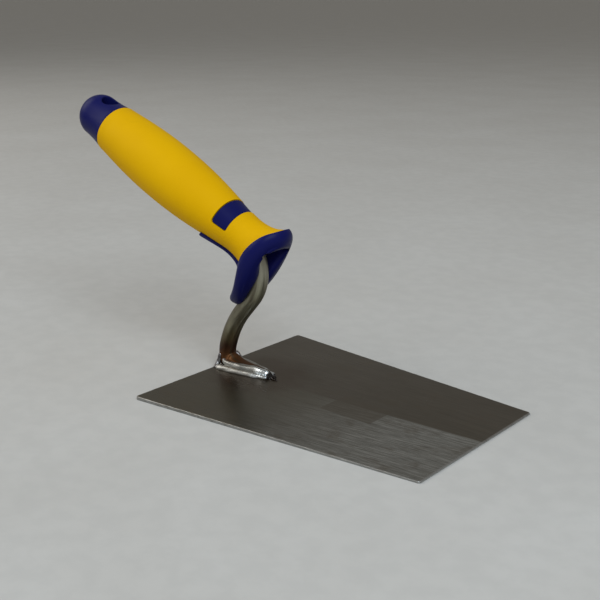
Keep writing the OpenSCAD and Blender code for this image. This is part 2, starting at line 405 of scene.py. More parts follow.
def grip_sleeve():
    top_cols, low_cols = 92, 40
    v_pad = v_for_x(PAD_X, radians(150))
    v_tip, a_tip = tip(LINE, LINE)
    a_pad = pad_edge(v_pad, LINE)

    def a_edge(v):
        return pad_edge(v, LINE) if v < v_tip - 1e-6 else a_tip

    grid = Grid()

    # Turned body, all the way round.
    body = []
    rows = 64
    v_joint = v_for_x(JOINT_X + SEAM, 0.0)
    for i in range(rows + 1):
        v = lerp(v_joint, v_pad, i / rows)
        row = [lerp(-a_pad, a_pad, j / top_cols) for j in range(top_cols + 1)]
        row += [lerp(a_pad, 2 * pi - a_pad, j / low_cols) for j in range(1, low_cols)]
        body.append([on_grip(*skin(v, a)) for a in row])
    grid.sheet(body, closed=True)

    # Hood: straight rows past the window, then rows that lean into the colour plane.
    v_mid = v_for_x(1.2, 0.0)
    straight, leaning = 34, 34
    fronts = [v_colour(a_tip * lerp(-1, 1, j / top_cols), LINE) for j in range(top_cols + 1)]
    params = []
    for i in range(straight + leaning + 1):
        row = []
        for j in range(top_cols + 1):
            if i <= straight:
                v = low = lerp(v_pad, v_mid, i / straight)
            else:
                k = (i - straight) / leaning
                v, low = lerp(v_mid, fronts[j], k), lerp(v_mid, v_tip, k)
            row.append((v, a_edge(low) * lerp(-1, 1, j / top_cols)))
        params.append(row)
    hood = [[on_grip(*skin(v, a)) for v, a in row] for row in params]

    # The window's hole: a block of cells gives way to loops that close in on its outline.
    mid_x = sum(WINDOW) / 2
    mm_per_rad = grip_r(mid_x)
    half = [(WINDOW[1] - WINDOW[0]) / 2 + 0.4, radians(WINDOW_A) * mm_per_rad + 0.4]

    def flat(v, a):
        return skin(v, a)[0] - mid_x, polar(a) * mm_per_rad

    def inside(v, a, margin=2.2):
        x, s = flat(v, a)
        return abs(x) < half[0] + margin and abs(s) < half[1] + margin

    hits = [
        (i, j) for i in range(straight + 1) for j in range(top_cols + 1) if inside(*params[i][j])
    ]
    i0, i1 = min(h[0] for h in hits), max(h[0] for h in hits)
    j0, j1 = min(h[1] for h in hits), max(h[1] for h in hits)
    grid.sheet(hood, skip=lambda i, j: i0 <= i < i1 and j0 <= j < j1)

    loop = (
        [(i0, j) for j in range(j0, j1)] + [(i, j1) for i in range(i0, i1)]
        + [(i1, j) for j in range(j1, j0, -1)] + [(i, j0) for i in range(i1, i0, -1)]
    )
    steps = 6
    loops = [[] for _ in range(steps + 1)]
    for i, j in loop:
        v, a = params[i][j]
        start = flat(v, a)
        end = rounded_box(start, half, 1.6)
        loops[0].append(hood[i][j])
        for k in range(1, steps + 1):
            t = 1 - (1 - k / steps) ** 1.3
            x, s = lerp(start[0], end[0], t), lerp(start[1], end[1], t)
            a = from_polar(s / mm_per_rad)
            loops[k].append(on_grip(*skin(v_for_x(mid_x + x, a, V_SHELL - 2), a)))
    grid.sheet(loops, closed=True)
    return shell(new_object("sleeve", grid.verts, grid.faces), 2.7, 0.28)


def window_inlay():
    """The navy band in the window: a rounded rectangle wrapped over the neck."""
    mid_x = sum(WINDOW) / 2
    mm_per_rad = grip_r(mid_x)
    half = [(WINDOW[1] - WINDOW[0]) / 2, radians(WINDOW_A) * mm_per_rad]
    corner = 1.3
    nx, ns = 18, 70

    def place(fx, fs):
        p = [fx * half[0], fs * half[1]]
        d = [abs(p[i]) - (half[i] - corner) for i in range(2)]
        if min(d) > 0:
            e = [d[i] * sqrt(1 - (d[1 - i] / corner) ** 2 / 2) for i in range(2)]
            p = [(half[i] - corner + e[i]) * (1 if p[i] > 0 else -1) for i in range(2)]
        return p

    def spread(i, n):
        """Even steps from -1 to 1."""
        t = lerp(-1, 1, i / n)
        return t

    rows = []
    for i in range(nx + 1):
        row = []
        for j in range(ns + 1):
            x, s = place(spread(i, nx), spread(j, ns))
            phi = s / mm_per_rad
            r = grip_r(mid_x + x) - 0.25
            row.append(on_grip(mid_x + x, r * sin(phi), r * cos(phi)))
        rows.append(row)
    grid = Grid()
    grid.sheet(rows)
    return shell(new_object("inlay", grid.verts, grid.faces), 2.0, 0.3)


# ---------------------------------------------------------------- finger guard

def finger_guard():
    top_cols, low_cols = 96, 80
    gap = -LINE
    v_pad = v_for_x(PAD_X, radians(150))
    v_tip, a_tip = tip(gap, gap)
    grid = Grid()

    def columns(a_side):
        cols = [lerp(-a_side, a_side, j / top_cols) for j in range(top_cols + 1)]
        return cols + [lerp(a_side, 2 * pi - a_side, j / low_cols) for j in range(1, low_cols)]

    # Pad on the underside, from its rear edge to the yellow's two points.
    pad = []
    rows = 44
    for i in range(rows + 1):
        v = lerp(v_pad, v_tip, i / rows)
        a_side = pad_edge(v, gap) if i < rows else a_tip
        pad.append([
            on_grip(*skin(v, lerp(a_side, 2 * pi - a_side, j / low_cols)))
            for j in range(low_cols + 1)
        ])
    grid.sheet(pad)

    # Rim, lip and dish, all the way round.
    starts = [v_colour(a, gap) if abs(a) < a_tip - 1e-9 else v_tip for a in columns(a_tip)]
    skin_rows = []
    rows = 96
    for i in range(rows + 1):
        skin_rows.append([
            on_grip(*skin(lerp(v0, V_END, i / rows), a))
            for v0, a in zip(starts, columns(a_tip))
        ])
    grid.sheet(skin_rows, closed=True)

    # Floor of the dish.
    last = skin_rows[-1]
    centre = sum(last, Vector()) / len(last)
    fill = [[centre.lerp(p, 1 - k / 8) for p in last] for k in range(9)]
    grid.sheet(fill, closed=True)
    return shell(new_object("guard", grid.verts, grid.faces), 1.6, 0.25)


# ---------------------------------------------------------------- butt cap

def cap_r(x):
    """Radius of the butt cap's outside at a station."""
    if x <= DOME_BASE:
        k = (DOME_BASE - x) / DOME_LEN
        return DOME_R * sqrt(max(0.0, 1 - k * k))
    return bezier(CAP, solve(lambda t: bezier(CAP, t)[0] - x, 0, 1))[1]


def butt_cap():
    around_n = 96
    face_x = JOINT_X - 0.05
    edge = 0.35

    # Outline from the pole of the dome to the rim, then round the rim and in to the axis.
    outline = [
        (DOME_BASE - DOME_LEN * cos(pi / 2 * i / 22), DOME_R * sin(pi / 2 * i / 22))
        for i in range(22)
    ]
    n = 22
    outline += [
        (lerp(DOME_BASE, face_x - edge, i / n), cap_r(lerp(DOME_BASE, face_x - edge, i / n)))
        for i in range(n + 1)
    ]
    rim_r = outline[-1][1]
    outline += [
        (face_x - edge + edge * sin(b), rim_r - edge * (1 - cos(b)))
        for b in (pi / 8, pi / 4, 3 * pi / 8, pi / 2)
    ]
    outline += [(face_x, rim_r * k) for k in (0.8, 0.5, 0.2, 0.0)]

    def spin(x, r, j):
        phi = 2 * pi * j / around_n
        return x, r * sin(phi), r * cos(phi)

    rows = [[spin(x, r, j) for j in range(around_n)] for x, r in outline]

    # Cells round the hang hole give way to loops that run into the bore, top and bottom.
    clear = 3.2              # the loops start this far outside the hole
    hits = [
        (i, j) for i, (x, r) in enumerate(outline[:44]) for j in range(-around_n // 4, around_n // 4)
        if abs(x - HANG_X) < HANG_R + clear
        and abs(r * sin(2 * pi * j / around_n)) < HANG_R + clear
    ]
    i0, i1 = min(h[0] for h in hits), max(h[0] for h in hits)
    j0, j1 = min(h[1] for h in hits), max(h[1] for h in hits)

    def skipped(i, j):
        top = j if j <= around_n // 2 else j - around_n
        low = j - around_n // 2
        return i0 <= i < i1 and (j0 <= top < j1 or j0 <= low < j1)

    grid = Grid()
    place = [[on_grip(*p) for p in row] for row in rows]
    grid.sheet(place, closed=True, skip=skipped)

    loop = (
        [(i0, j) for j in range(j0, j1)] + [(i, j1) for i in range(i0, i1)]
        + [(i1, j) for j in range(j1, j0, -1)] + [(i, j0) for i in range(i1, i0, -1)]
    )
    rim = 0.5
    steps = 6
    mouths = []
    for side in (1, -1):
        rings = [[] for _ in range(steps + 6)]
        for i, j in loop:
            x, y, _ = rows[i][j % around_n]
            dx, dy = x - HANG_X, y
            d = hypot(dx, dy)
            ux, uy = dx / d, dy / d
            for k in range(steps + 6):
                if k <= steps:
                    rho = lerp(d, HANG_R + rim, k / steps)
                    drop = 0.0
                else:
                    b = pi / 2 * (k - steps) / 5
                    rho = HANG_R + rim * (1 - sin(b))
                    drop = rim * (1 - cos(b))
                px, py = HANG_X + ux * rho, uy * rho
                u = sqrt(max(cap_r(px) ** 2 - py * py, 0)) - drop
                rings[k].append(on_grip(px, py, side * u))
        grid.sheet(rings, closed=True)
        mouths.append(rings[-1])
    bore = [[p.lerp(q, k / 8) for p, q in zip(*mouths)] for k in range(9)]
    grid.sheet(bore, closed=True)
    return new_object("cap", grid.verts, grid.faces)


# ---------------------------------------------------------------- shank and its foot

HEEL_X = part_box("blade")[0][0] / MM           # the blade's heel, in the row's frame
HEEL_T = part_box("blade")[1][2] / MM
TOE_T = 1.0
BAR_R = 4.6
TILT = asin(UP.x)
NECK_BEND, SWEEP = 22.0, 53.0
NECK_C = (5.75, 57.0)
FOOT_START = (3.2, 9.0)
LEAN = radians(10)
SWEEP_C = (FOOT_START[0] + SWEEP * cos(LEAN), FOOT_START[1] - SWEEP * sin(LEAN))
CROSS = acos((NECK_BEND + SWEEP) / hypot(SWEEP_C[0] - NECK_C[0], SWEEP_C[1] - NECK_C[1]))
NECK_END = atan2(SWEEP_C[1] - NECK_C[1], SWEEP_C[0] - NECK_C[0]) + CROSS
TANG = 30.0                                    # how much of the hidden tang is drawn


def from_heel(x, y, z):
    return Vector((HEEL_X + x, y, z))


def bar_stops():
    """[x, z, direction across the bar] down the bar, measured from the heel."""
    stops = []
    top = pi / 2 - TILT
    start = (NECK_C[0] + NECK_BEND * cos(top), NECK_C[1] + NECK_BEND * sin(top))
    for back in (TANG, TANG / 2):
        stops.append((start[0] - back * sin(top), start[1] + back * cos(top), top))
    for k in range(19):
        a = lerp(top, NECK_END, k / 18)
        stops.append((NECK_C[0] + NECK_BEND * cos(a), NECK_C[1] + NECK_BEND * sin(a), a))
    for k in range(12):
        a = lerp(NECK_END, -LEAN, k / 12)
        stops.append((SWEEP_C[0] - SWEEP * cos(a), SWEEP_C[1] - SWEEP * sin(a), a))
    return stops


SECTION = 16


def oval(i, right, left, side):
    """Point i of a section: how far towards +x or -x, and across."""
    b = 2 * pi * i / SECTION
    c = cos(b)
    return (right if c > 0 else left) * c, side * sin(b)


# Foot sections from the inner corner on: [x, ridge height, shoulder height, shoulder half
# width, base half width]. The ridge leans to the far side.
FOOT = [
    (9.4, 8.3, 6.2, 3.7, 5.0),
    (11.4, 7.2, 5.7, 3.4, 4.9),
    (14.0, 6.5, 5.2, 3.2, 4.8),
    (18.0, 5.8, 4.9, 3.0, 4.6),
    (24.0, 5.3, 4.6, 2.6, 4.2),
    (29.5, 5.05, 4.4, 2.3, 3.7),
    (31.6, 4.9, 4.2, 2.1, 3.4),
    (32.6, 4.2, 3.8, 2.0, 3.2),
    (36.0, 2.0, 1.8, 1.7, 2.4),
]
RIDGE_Y = 1.6


def shank():
    swell = 3 / (2 + cos(2 * pi / SECTION))      # subdivision draws a ring in by this much
    rows = []
    for x, z, a in bar_stops():
        r = BAR_R * swell
        row = []
        for i in range(SECTION):
            across, side = oval(i, r, r, r)
            row.append(from_heel(x + across * cos(a), side, z + across * sin(a)))
        rows.append(row)

    # The bar turns into the foot about the inner corner, fanning from flat to upright.
    pivot = (8.9, 9.9)
    fan = [
        (188, 9.9, 4.7), (206, 11.2, 4.8), (224, 12.4, 4.9), (240, 10.2, 5.0), (256, 9.0, 5.0),
    ]
    for angle, reach, half in fan:
        a = radians(angle)
        row = []
        for i in range(SECTION):
            c, s = cos(2 * pi * i / SECTION), sin(2 * pi * i / SECTION)
            d = lerp(reach, 0.8, (1 + c) / 2)
            row.append(from_heel(
                pivot[0] + d * cos(a), half * s * swell, max(pivot[1] + d * sin(a), 1.2)
            ))
        rows.append(row)

    # Upright sections of the foot: flat underneath, a shoulder each side and a ridge on top.
    for x, ridge, shoulder, half, base in FOOT:
        outline = [
            (RIDGE_Y, ridge), (lerp(RIDGE_Y, half, 0.5), ridge - 0.1),
            (half, lerp(shoulder, ridge, 0.4)), (half + 0.3, shoulder),
            (lerp(half, base, 0.6), shoulder * 0.6), (base, 1.9), (base * 0.9, 1.3),
            (base * 0.5, 1.2), (0, 1.2),
        ]
        left = [(-y, z) for y, z in outline]
        left[1] = (RIDGE_Y - 1.5, ridge - 0.15)
        loop = outline + left[7:0:-1]
        rows.append([from_heel(x, y, z) for y, z in loop])
    grid = Grid()
    grid.sheet(rows, closed=True)
    for row in (rows[0], rows[-1]):
        centre = sum(row, Vector()) / SECTION
        inner = [centre.lerp(p, 0.55) for p in row]
        grid.sheet([row, inner], closed=True)
        grid.face(inner)
    obj = new_object("shank_bar", grid.verts, grid.faces)
    smoothing = obj.modifiers.new("smoothing", "SUBSURF")
    smoothing.levels = smoothing.render_levels = 3
    return obj


# ---------------------------------------------------------------- weld beads

def bead(name, path, radii, squash=1.0, ripple=0.06, floor=1.1, seed=0.0):
    """A weld run along a path: a lumpy tube with the ripples of the moving pool."""
    points = [Vector(p) for p in path]
    lengths = [0.0]
    for p, q in zip(points, points[1:]):
        lengths.append(lengths[-1] + (q - p).length)
    total = lengths[-1]
    n = ceil(total / 0.3)
    around_n = 28

    def along(s):
        """Point and radius at a distance along the path, on a smooth curve."""
        k = max(i for i in range(len(points) - 1) if lengths[i] <= s + 1e-9)
        t = (s - lengths[k]) / (lengths[k + 1] - lengths[k])
        a, b = points[max(k - 1, 0)], points[k]
        c, d = points[k + 1], points[min(k + 2, len(points) - 1)]
        p = 0.5 * (2 * b + (c - a) * t + (2 * a - 5 * b + 4 * c - d) * t ** 2
                   + (3 * b - a - 3 * c + d) * t ** 3)
        return p, lerp(radii[k], radii[k + 1], t)

    rows = []
    for i in range(n + 1):
        s = total * i / n
        p, r = along(s)
        q, _ = along(min(s + 0.2, total))
        o, _ = along(max(s - 0.2, 0))
        way = (q - o).normalized()
        side = way.cross(Vector((0, 0, 1))).normalized()
        up = side.cross(way)
        end = min(s, total - s)
        r *= sqrt(max(0.02, 1 - max(0, 1 - end / r) ** 2))
        row = []
        for j in range(around_n):
            b = 2 * pi * j / around_n
            # The ripples bow forward over the bead's crown.
            phase = (s + 0.8 * cos(b) + 0.25 * noise.noise(Vector((s * 0.7, seed, b)))) / 1.55
            crest = ripple * (abs(sin(pi * phase)) - 0.6) * min(1, end / 1.5)
            lump = 0.36 * noise.noise(Vector((s * 0.22, cos(b) * 0.9 + seed, sin(b) * 0.9)))
            k = r + crest + lump * min(1, r / 1.5)
            point = from_heel(*p) + side * cos(b) * k + up * sin(b) * k * squash
            point.z = max(point.z, floor)
            row.append(point)
        rows.append(row)
    grid = Grid()
    grid.sheet(rows, closed=True)
    for row in (rows[0], rows[-1]):
        centre = sum(row, Vector()) / around_n
        grid.sheet([row, [centre.lerp(p, 0.5) for p in row]], closed=True)
        grid.face([centre.lerp(p, 0.5) for p in row])
    return new_object(name, grid.verts, grid.faces)


# Paths of the runs on one side of the foot, as [x, distance from the middle, z, radius]. They
# start wide at the heel and close in towards the tip.
LOWER_RUN = [
    (1.6, 7.2, 2.0, 1.9), (6.0, 7.3, 2.1, 2.3), (11.0, 6.9, 2.1, 2.4), (15.5, 6.3, 2.1, 2.3),
    (19.5, 5.6, 2.0, 2.2), (24.0, 4.9, 2.0, 2.1), (29.0, 3.7, 1.9, 1.9), (32.5, 3.0, 1.9, 1.8),
    (35.2, 2.2, 1.9, 1.4),
]
UPPER_RUN = [
    (4.6, 4.3, 6.6, 1.0), (6.5, 4.8, 5.2, 1.5), (11.0, 4.4, 4.1, 1.9), (16.0, 3.3, 4.0, 2.1),
    (21.0, 2.0, 3.9, 2.1), (26.0, 1.1, 3.8, 2.1), (30.5, 0.7, 3.7, 2.0), (33.4, 0.7, 3.0, 1.7),
]
FAR_UPPER_RUN = [
    (6.4, 2.8, 9.2, 1.0), (8.0, 3.2, 7.8, 1.4), (10.2, 3.9, 5.3, 1.1), (15.0, 4.4, 3.0, 1.0),
    (21.0, 3.9, 2.6, 1.0), (27.0, 3.4, 2.4, 1.0), (33.0, 2.4, 2.1, 1.0),
]
HEEL_RUN = [
    (2.3, 4.2, 9.4, 0.8), (2.0, 4.4, 7.6, 1.1), (1.7, 4.4, 5.8, 1.2), (1.2, 4.8, 4.1, 1.3),
    (1.0, 5.6, 3.0, 1.3), (1.2, 7.0, 2.3, 1.1), (1.8, 8.4, 2.0, 0.8),
]
TOE_RUN = [
    (34.6, -2.2, 1.9, 0.8), (35.8, -1.2, 1.9, 1.2), (36.2, 0.1, 1.9, 1.3), (37.2, 0.8, 1.8, 1.0),
    (38.6, 1.1, 1.7, 0.7), (40.2, 1.3, 1.6, 0.4),
]


def run_bead(name, node, run, side, **looks):
    path = [(x, side * y, z) for x, y, z, _ in run]
    return bead(name, path, [r for _, _, _, r in run], **looks), node


def weld_beads():
    return [
        run_bead("bead_near_lower", "weld_near_lower", LOWER_RUN, -1, squash=0.9, seed=3.1),
        run_bead("bead_near_upper", "weld_near_upper", UPPER_RUN, -1, seed=5.4),
        run_bead("bead_far_lower", "weld_far_lower", LOWER_RUN, 1, squash=0.9, seed=8.4),
        run_bead("bead_far_upper", "weld_far_upper", FAR_UPPER_RUN, 1, seed=2.7),
        run_bead("bead_heel", "weld_heel", HEEL_RUN, -1, floor=0.4, seed=5.7),
        run_bead("bead_toe", "weld_toe", TOE_RUN, -1, seed=1.9),
    ]


# ---------------------------------------------------------------- blade

BLADE_TAPER = 30.0       # how much narrower the toe is than the heel


def blade():
    """The trapezoid plate, with a worn edge all round."""
    (x0, y0, _), (x1, y1, _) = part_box("blade")
    x0, x1, heel_w = x0 / MM, x1 / MM, (y1 - y0) / MM
    toe_w = heel_w - BLADE_TAPER
    corner = 1.6
    corners = [(x0, -heel_w / 2), (x1, -toe_w / 2), (x1, toe_w / 2), (x0, heel_w / 2)]

    # Outline with rounded corners, as points and outward directions.
    outline = []
    for k, (cx, cy) in enumerate(corners):
        before, after = corners[k - 1], corners[(k + 1) % 4]
        u = Vector((before[0] - cx, before[1] - cy)).normalized()
        w = Vector((after[0] - cx, after[1] - cy)).normalized()
        half = u.angle(w) / 2
        middle = Vector((cx, cy)) + (u + w).normalized() * corner / sin(half)
        first = Vector((cx, cy)) + u * corner / (sin(half) / cos(half)) - middle
        sweep = pi - 2 * half
        start = atan2(first.y, first.x)
        for i in range(8):
            b = start + sweep * i / 7
            out = Vector((cos(b), sin(b)))
            outline.append((middle + out * corner, out))
        far = corners[(k + 1) % 4]
        n = ceil((Vector(far) - Vector((cx, cy))).length / 0.8)
        nxt = Vector(far) - Vector((cx, cy))
        out = outline[-1][1]
        p0 = outline[-1][0]
        run_len = nxt.length - corner / (sin(half) / cos(half)) * 1.0 - corner * 1.2
        for i in range(1, n):
            outline.append((p0 + nxt.normalized() * run_len * i / n, out))

    def top(x):
        return lerp(HEEL_T, TOE_T, (x - x0) / (x1 - x0))

    # Loops from the middle of the top, over the worn edge, and round to the middle underneath.
    rings = []
    profile = [
        (-0.9, 1, 0.0), (-0.55, 1, 0.0), (-0.26, 1, -0.04), (-0.08, 1, -0.16), (0.0, 1, -0.36),
        (0.0, 0, 0.28), (-0.09, 0, 0.1), (-0.28, 0, 0.0), (-0.9, 0, 0.0),
    ]
    for inset, upper, dz in profile:
        ring = []
        for p, out in outline:
            wear = noise.noise(Vector((p.x * 0.35, p.y * 0.35, 4.0)))
            nick = max(0, noise.noise(Vector((p.x * 0.9, p.y * 0.9, 9.0))) - 0.32) * 0.45
            k = 1 + 0.5 * wear
            q = p + out * (inset * k - nick * (1 if inset > -0.5 else 0))
            z = top(q.x) + dz * k if upper else dz
            ring.append(Vector((q.x, q.y, z)))
        rings.append(ring)
    grid = Grid()
    grid.sheet(rings, closed=True)
    grid.face(rings[0])
    grid.face(rings[-1])
    obj = new_object("blade_plate", grid.verts, grid.faces)
    obj.data.set_sharp_from_angle(angle=radians(60))
    return obj


# ---------------------------------------------------------------- node material helper

class Nodes:
    """A small builder for node materials."""

    def __init__(self, name):
        self.mat = bpy.data.materials.new(name)
        self.mat.use_nodes = True
        self.tree = self.mat.node_tree
        self.bsdf = self.tree.nodes["Principled BSDF"]
        self.coords = self.tree.nodes.new("ShaderNodeTexCoord").outputs["Object"]

    def put(self, socket, value):
        if isinstance(value, bpy.types.NodeSocket):
            self.tree.links.new(value, socket)
        else:
            socket.default_value = value

    def stretch(self, scale, turn=(0, 0, 0), shift=(0, 0, 0)):
        """The object's coordinates, turned by an angle and stretched along each axis."""
        node = self.tree.nodes.new("ShaderNodeMapping")
        node.vector_type = "TEXTURE" if any(turn) else "POINT"
        self.put(node.inputs["Vector"], self.coords)
        if any(turn):
            node.inputs["Rotation"].default_value = turn
            again = self.tree.nodes.new("ShaderNodeMapping")
            self.put(again.inputs["Vector"], node.outputs[0])
            node = again
        node.inputs["Scale"].default_value = scale
        node.inputs["Location"].default_value = shift
        return node.outputs[0]

    def noise(self, vector, scale=1.0, detail=4.0, rough=0.55, distort=0.0):
        node = self.tree.nodes.new("ShaderNodeTexNoise")
        self.put(node.inputs["Vector"], vector)
        node.inputs["Scale"].default_value = scale
        node.inputs["Detail"].default_value = detail
        node.inputs["Roughness"].default_value = rough
        node.inputs["Distortion"].default_value = distort
        return node.outputs["Fac"]

    def ramp(self, value, stops):
        """Colour ramp. Stops are (position, colour or grey)."""
        node = self.tree.nodes.new("ShaderNodeValToRGB")
        self.put(node.inputs["Fac"], value)
        while len(node.color_ramp.elements) < len(stops):
            node.color_ramp.elements.new(0.5)
        for e, (pos, col) in zip(node.color_ramp.elements, stops):
            e.position = pos
            e.color = (col, col, col, 1) if isinstance(col, (int, float)) else (*col, 1)
        return node.outputs["Color"]

    def mix(self, fac, a, b, mode="MIX"):
        node = self.tree.nodes.new("ShaderNodeMix")
        node.data_type = "RGBA"
        node.blend_type = mode
        self.put(node.inputs["Factor"], fac)
        for socket, value in ((node.inputs[6], a), (node.inputs[7], b)):
            if isinstance(value, (tuple, list)) and len(value) == 3:
                value = (*value, 1)
            self.put(socket, value)
        return node.outputs[2]

    def math(self, op, a, b=0.0, clamp=False):
        node = self.tree.nodes.new("ShaderNodeMath")
        node.operation = op
        node.use_clamp = clamp
        self.put(node.inputs[0], a)
        self.put(node.inputs[1], b)
        return node.outputs[0]

    def span(self, value, lo, hi, to_lo=0.0, to_hi=1.0, soft=True):
        """Maps a value from one range to another, clamped."""
        node = self.tree.nodes.new("ShaderNodeMapRange")
        node.interpolation_type = "SMOOTHSTEP" if soft else "LINEAR"
        self.put(node.inputs["Value"], value)
        for key, v in (("From Min", lo), ("From Max", hi), ("To Min", to_lo), ("To Max", to_hi)):
            node.inputs[key].default_value = v
        return node.outputs["Result"]

    def axis(self, vector, name):
        node = self.tree.nodes.new("ShaderNodeSeparateXYZ")
        self.put(node.inputs[0], vector)
        return node.outputs[name]

    def bump(self, height, strength, distance, normal=None):
        node = self.tree.nodes.new("ShaderNodeBump")
        self.put(node.inputs["Height"], height)
        node.inputs["Strength"].default_value = strength
        node.inputs["Distance"].default_value = distance
        if normal is not None:
            self.put(node.inputs["Normal"], normal)
        return node.outputs[0]

    def finish(self, colour, roughness, normal=None, metallic=0.0, specular=0.5):
        self.put(self.bsdf.inputs["Base Color"], colour)
        self.put(self.bsdf.inputs["Roughness"], roughness)
        self.put(self.bsdf.inputs["Metallic"], metallic)
        self.bsdf.inputs["Specular IOR Level"].default_value = specular
        if normal is not None:
            self.put(self.bsdf.inputs["Normal"], normal)
        return self.mat


# ---------------------------------------------------------------- materials

def blade_steel():
    n = Nodes("blade_steel")
    x, y = n.axis(n.coords, "X"), n.axis(n.coords, "Y")
    streak = n.noise(n.stretch((45, 2600, 400)), detail=5, rough=0.7)
    broad = n.noise(n.stretch((14, 520, 200), shift=(3, 1, 0)), detail=3)
    ground = n.noise(n.stretch((95, 2800, 300), turn=(0, 0, radians(7))), detail=5, rough=0.72)
    cloud = n.noise(n.stretch((24, 34, 30)), detail=5, rough=0.6)
    stain = n.noise(n.stretch((70, 95, 60), shift=(7, 2, 0)), detail=6, rough=0.65)
    spots = n.noise(n.stretch((420, 520, 300)), detail=3, rough=0.6)
    scratch = n.noise(n.stretch((38, 3400, 300), turn=(0, 0, radians(13))), detail=2)
    scratch = n.span(scratch, 0.70, 0.76)

    # The far half is darker and browner and the near half lighter towards the toe, with a clean line
    # between: a painted reflection, laid over the steel's own brushed streaks.
    waver = n.math("MULTIPLY", n.math("SUBTRACT", broad, 0.5), 0.0016)
    line = n.math("SUBTRACT", n.math("ADD", y, waver), n.math("MULTIPLY", x, 0.05))
    far = n.span(line, -0.0019, -0.0007)
    toeward = n.span(n.math("SUBTRACT", x, n.math("MULTIPLY", y, 0.25)), -0.035, 0.055)

    dark = n.mix(cloud, (0.098, 0.089, 0.066), (0.140, 0.128, 0.098))
    pale_painted_reflection = n.mix(n.span(ground, 0.30, 0.72), (0.120, 0.118, 0.106), (0.420, 0.420, 0.400))
    near_half_painted_reflection = n.mix(toeward, dark, pale_painted_reflection)
    brown = n.mix(n.span(streak, 0.3, 0.7), (0.088, 0.076, 0.058), (0.140, 0.124, 0.100))
    colour = n.mix(far, near_half_painted_reflection, brown)
    colour = n.mix(n.span(broad, 0.45, 0.75, 0, 0.30), colour, (0.090, 0.080, 0.062))
    colour = n.mix(n.span(stain, 0.52, 0.70, 0, 0.45), colour, (0.118, 0.095, 0.066))

    # Heat from the weld, and a plain etched patch.
    dx = n.math("ADD", x, 0.052)
    away = n.math("SQRT", n.math("ADD", n.math("MULTIPLY", dx, dx), n.math("MULTIPLY", y, y)))
    away = n.math("ADD", away, n.math("MULTIPLY", n.math("SUBTRACT", stain, 0.5), 0.030))
    colour = n.mix(n.span(away, 0.014, 0.034, 0.65, 0.0), colour, (0.075, 0.052, 0.034))
    patch_x = n.span(n.math("ABSOLUTE", n.math("SUBTRACT", x, 0.0143)), 0.0147, 0.0152, 1, 0)
    patch_y = n.span(n.math("ABSOLUTE", n.math("ADD", y, 0.0045)), 0.0094, 0.0099, 1, 0)
    patch = n.math("MULTIPLY", patch_x, patch_y)
    colour = n.mix(n.math("MULTIPLY", patch, 0.62), colour, (0.115, 0.098, 0.074))

    # A painted highlight along the rim of the plate, and lighter scratches, which are wear.
    half = n.math("SUBTRACT", 0.05555, n.math("MULTIPLY", x, 0.09375))
    rim = n.span(n.math("SUBTRACT", n.math("ABSOLUTE", y), half), -0.0011, -0.0002)
    rim = n.math("MAXIMUM", rim, n.span(x, 0.0789, 0.0798))
    rim = n.math("MULTIPLY", rim, n.span(streak, 0.30, 0.62, 0.35, 1.0))
    colour = n.mix(rim, colour, (0.36, 0.36, 0.35))
    colour = n.mix(n.math("MULTIPLY", scratch, 0.30), colour, (0.42, 0.41, 0.38))
    colour = n.mix(n.span(spots, 0.66, 0.74, 0, 0.35), colour, (0.07, 0.058, 0.045))

    rough = n.span(streak, 0.2, 0.8, 0.26, 0.38)
    rough = n.math("ADD", rough, n.math("MULTIPLY", toeward, 0.10))
    rough = n.math("ADD", rough, n.span(cloud, 0.3, 0.7, -0.04, 0.06))
    normal = n.bump(streak, 0.10, 0.00004)
    normal = n.bump(ground, 0.10, 0.00004, normal)
    normal = n.bump(scratch, 0.25, 0.00003, normal)
    return n.finish(colour, rough, normal, metallic=0.9)


